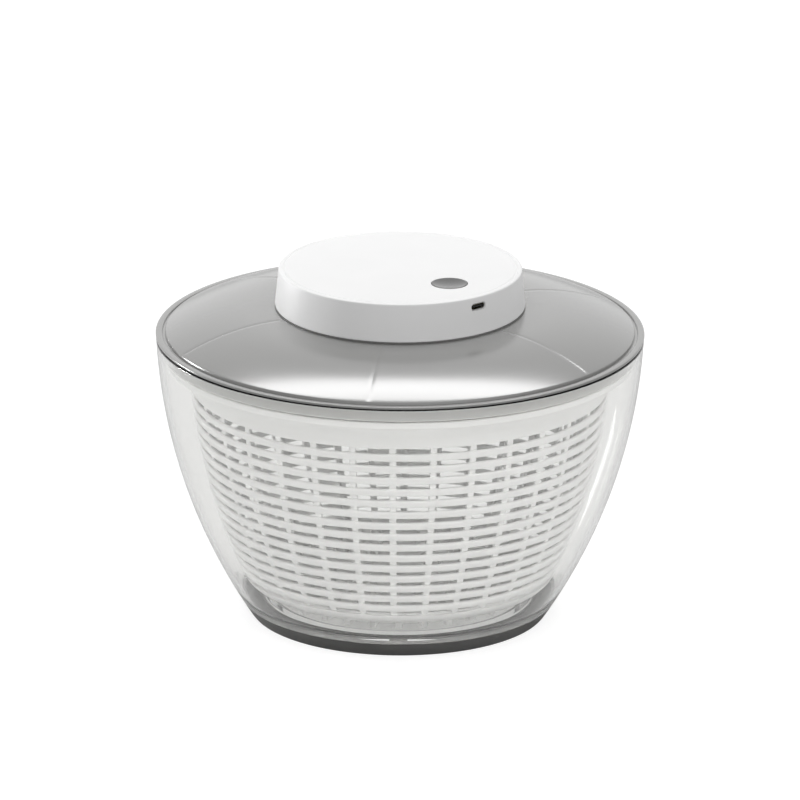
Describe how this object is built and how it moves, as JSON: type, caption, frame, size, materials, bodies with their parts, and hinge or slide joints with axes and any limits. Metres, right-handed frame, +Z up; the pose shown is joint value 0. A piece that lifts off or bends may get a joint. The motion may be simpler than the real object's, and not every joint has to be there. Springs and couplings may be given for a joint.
{
  "type": "salad spinner",
  "caption": "Rechargeable salad spinner: clear round bowl, slotted spinning basket and smoke-grey lid with a round white power head, push button and charging socket.",
  "frame": {"origin": "on the spin axis at the underside of the base ring", "axes": "+Z up along the spin axis, -Y towards the front, where the button and socket sit to the right of centre (+X)"},
  "size_m": [0.25, 0.25, 0.1836],
  "materials": {
    "clear_plastic": "gloss",
    "smoke_plastic": "satin",
    "basket_plastic": "satin",
    "white_plastic": "satin",
    "dark_silicone": "matte",
    "grey_plastic": "satin",
    "black_plastic": "matte",
    "acetal": "satin",
    "board_green": "satin",
    "cell_wrap": "satin",
    "steel": "satin",
    "bronze": "satin",
    "brass": "satin",
    "ferrite": "matte",
    "copper_windings": "satin"
  },
  "bodies": {
    "bowl": {"bowl": "clear_plastic", "base_ring": "dark_silicone", "pivot_pin": "steel"},
    "basket_bearing": {"pivot_bush": "acetal"},
    "basket": {"basket": "basket_plastic"},
    "lid": {"lid": "smoke_plastic", "ring_gear": "acetal", "gearbox_plate": "steel", "gearbox_screws": "steel", "output_bush": "bronze", "shaft_seal": "dark_silicone", "head_base": "white_plastic", "head_seal": "dark_silicone", "head_cover": "white_plastic", "head_screws": "steel", "tact_switch": "black_plastic", "circuit_board": "board_green", "board_screws": "steel", "usb_port": "steel", "battery_cell": "cell_wrap", "motor_can": "steel", "motor_magnets": "ferrite", "motor_end_cap": "black_plastic", "motor_bushes": "bronze", "motor_screws": "steel"},
    "output": {"drive_plate": "basket_plastic", "plate_washer": "steel", "plate_screw": "steel", "output_shaft": "steel", "planet_carrier": "acetal", "planet_pins": "steel"},
    "planet_1": {"planet_gear_1": "acetal"},
    "planet_2": {"planet_gear_2": "acetal"},
    "planet_3": {"planet_gear_3": "acetal"},
    "rotor": {"sun_gear": "brass", "motor_shaft": "steel", "armature": "copper_windings"},
    "button": {"button_cap": "grey_plastic", "switch_plunger": "black_plastic"}
  },
  "joints": [
    {"name": "basket_lift", "type": "slide", "parent": "bowl", "child": "basket_bearing", "axis": [0, 0, 1], "range_m": [0, 0.15]},
    {"name": "basket_spin", "type": "hinge", "parent": "basket_bearing", "child": "basket", "pos_m": [0, 0, 0.017], "axis": [0, 0, 1], "continuous": true},
    {"name": "lid_lift", "type": "slide", "parent": "basket_bearing", "child": "lid", "axis": [0, 0, 1], "range_m": [0, 0.1]},
    {"name": "plate_spin", "type": "hinge", "parent": "lid", "child": "output", "pos_m": [0, 0, 0.15], "axis": [0, 0, 1], "continuous": true},
    {"name": "rotor_spin", "type": "hinge", "parent": "lid", "child": "rotor", "pos_m": [0, 0, 0.17], "axis": [0, 0, 1], "continuous": true},
    {"name": "planet_1_spin", "type": "hinge", "parent": "output", "child": "planet_1", "pos_m": [0.0144, 0, 0.157], "axis": [0, 0, 1], "continuous": true},
    {"name": "planet_2_spin", "type": "hinge", "parent": "output", "child": "planet_2", "pos_m": [-0.0072, 0.01247, 0.157], "axis": [0, 0, 1], "continuous": true},
    {"name": "planet_3_spin", "type": "hinge", "parent": "output", "child": "planet_3", "pos_m": [-0.0072, -0.01247, 0.157], "axis": [0, 0, 1], "continuous": true},
    {"name": "button_press", "type": "slide", "parent": "lid", "child": "button", "axis": [0, 0, -1], "range_m": [0, 0.0006], "stiffness_N_per_m": 1500, "springref_m": -0.0004}
  ],
  "couplings": [
    {"joint": "plate_spin", "follows": "basket_spin", "ratio": 1},
    {"joint": "rotor_spin", "follows": "basket_spin", "ratio": 4},
    {"joint": "planet_1_spin", "follows": "basket_spin", "ratio": -3},
    {"joint": "planet_2_spin", "follows": "basket_spin", "ratio": -3},
    {"joint": "planet_3_spin", "follows": "basket_spin", "ratio": -3}
  ]
}
